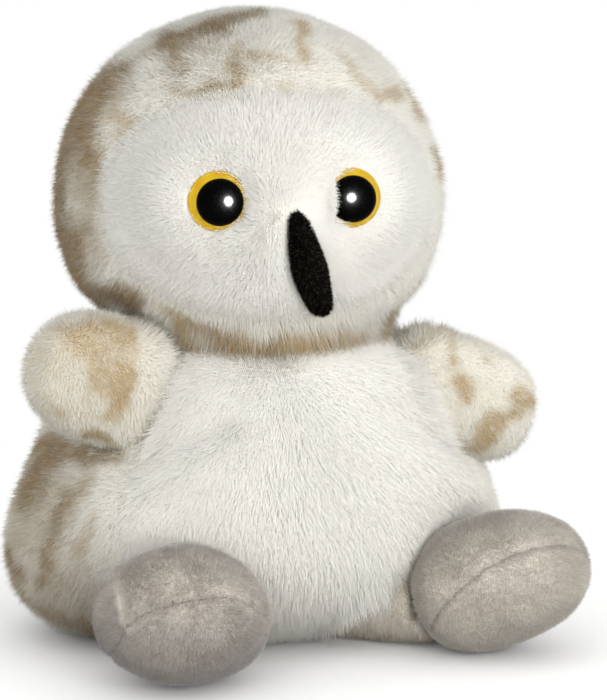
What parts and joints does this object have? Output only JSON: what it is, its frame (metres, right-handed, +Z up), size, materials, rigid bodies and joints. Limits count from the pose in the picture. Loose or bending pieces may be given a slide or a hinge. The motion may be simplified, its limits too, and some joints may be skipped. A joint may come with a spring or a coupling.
{
  "type": "plush owl",
  "caption": "Small seated stuffed owl: bean-weighted pear body, ball head with plastic safety eyes and velour beak, stub wings and feet that flex at their seams.",
  "frame": {"origin": "on the flat face of the base, under the middle of the body", "axes": "+Z up, the owl looks along -Y, so its own left side is +X"},
  "size_m": [0.1009, 0.0918, 0.1158],
  "materials": {
    "spotted_plush": "long pile plush, cream with soft grey-brown blotches",
    "wing_plush": "long pile plush, cream with tan blotches",
    "white_plush": "long pile plush, warm white",
    "face_plush": "fluffy pile plush, warm white",
    "base_plush": "short pile plush, cream",
    "filling": "loose polyester fibre",
    "beans": "pouch of small plastic pellets",
    "sewing_thread": "closed row of sewing thread",
    "yellow_plastic": "glossy yellow eye disc",
    "black_plastic": "polished black eye dome",
    "washer_plastic": "moulded locking washer",
    "black_velour": "very short pile velour, black",
    "grey_velour": "short pile velour, warm grey"
  },
  "bodies": {
    "torso": {"back_cover": "spotted_plush", "belly_cover": "white_plush", "base_cover": "base_plush", "body_stuffing": "filling", "bean_pouch": "beans", "leg_left": "white_plush", "leg_right": "white_plush"},
    "neck": {"neck_seam": "sewing_thread"},
    "head": {"head_cover": "spotted_plush", "face_cover": "face_plush", "head_stuffing": "filling", "eye_disc_left": "yellow_plastic", "eye_dome_left": "black_plastic", "eye_washer_left": "washer_plastic", "eye_disc_right": "yellow_plastic", "eye_dome_right": "black_plastic", "eye_washer_right": "washer_plastic", "beak": "black_velour"},
    "wing_left": {"wing_left_front_cover": "wing_plush", "wing_left_back_cover": "wing_plush", "wing_left_stuffing": "filling"},
    "wing_right": {"wing_right_front_cover": "wing_plush", "wing_right_back_cover": "wing_plush", "wing_right_stuffing": "filling"},
    "foot_left": {"foot_left_upper_cover": "grey_velour", "foot_left_lower_cover": "grey_velour", "foot_left_stuffing": "filling"},
    "foot_right": {"foot_right_upper_cover": "grey_velour", "foot_right_lower_cover": "grey_velour", "foot_right_stuffing": "filling"}
  },
  "joints": [
    {"name": "head_turn", "type": "hinge", "parent": "torso", "child": "neck", "pos_m": [0, 0.005, 0.082], "axis": [0, 0, 1], "range_deg": [-13, 37], "stiffness_Nm_per_rad": 0.03},
    {"name": "head_nod", "type": "hinge", "parent": "neck", "child": "head", "pos_m": [0, 0.005, 0.082], "axis": [0.9781, -0.2079, 0], "range_deg": [-8, 10], "stiffness_Nm_per_rad": 0.06},
    {"name": "wing_left_lift", "type": "hinge", "parent": "torso", "child": "wing_left", "pos_m": [0.03148, -0.00899, 0.04449], "axis": [-0.2419, -0.9703, 0], "range_deg": [0, 54], "stiffness_Nm_per_rad": 0.01},
    {"name": "wing_right_lift", "type": "hinge", "parent": "torso", "child": "wing_right", "pos_m": [-0.03148, -0.00899, 0.0502], "axis": [-0.2419, 0.9703, 0], "range_deg": [-32, 22], "stiffness_Nm_per_rad": 0.01},
    {"name": "foot_left_flex", "type": "hinge", "parent": "torso", "child": "foot_left", "pos_m": [0.02902, -0.03451, 0.0121], "axis": [-0.7547, -0.6561, 0], "range_deg": [-20, 15], "stiffness_Nm_per_rad": 0.02},
    {"name": "foot_right_flex", "type": "hinge", "parent": "torso", "child": "foot_right", "pos_m": [-0.02902, -0.03451, 0.0121], "axis": [-0.7547, 0.6561, 0], "range_deg": [-9, 26], "stiffness_Nm_per_rad": 0.02}
  ]
}
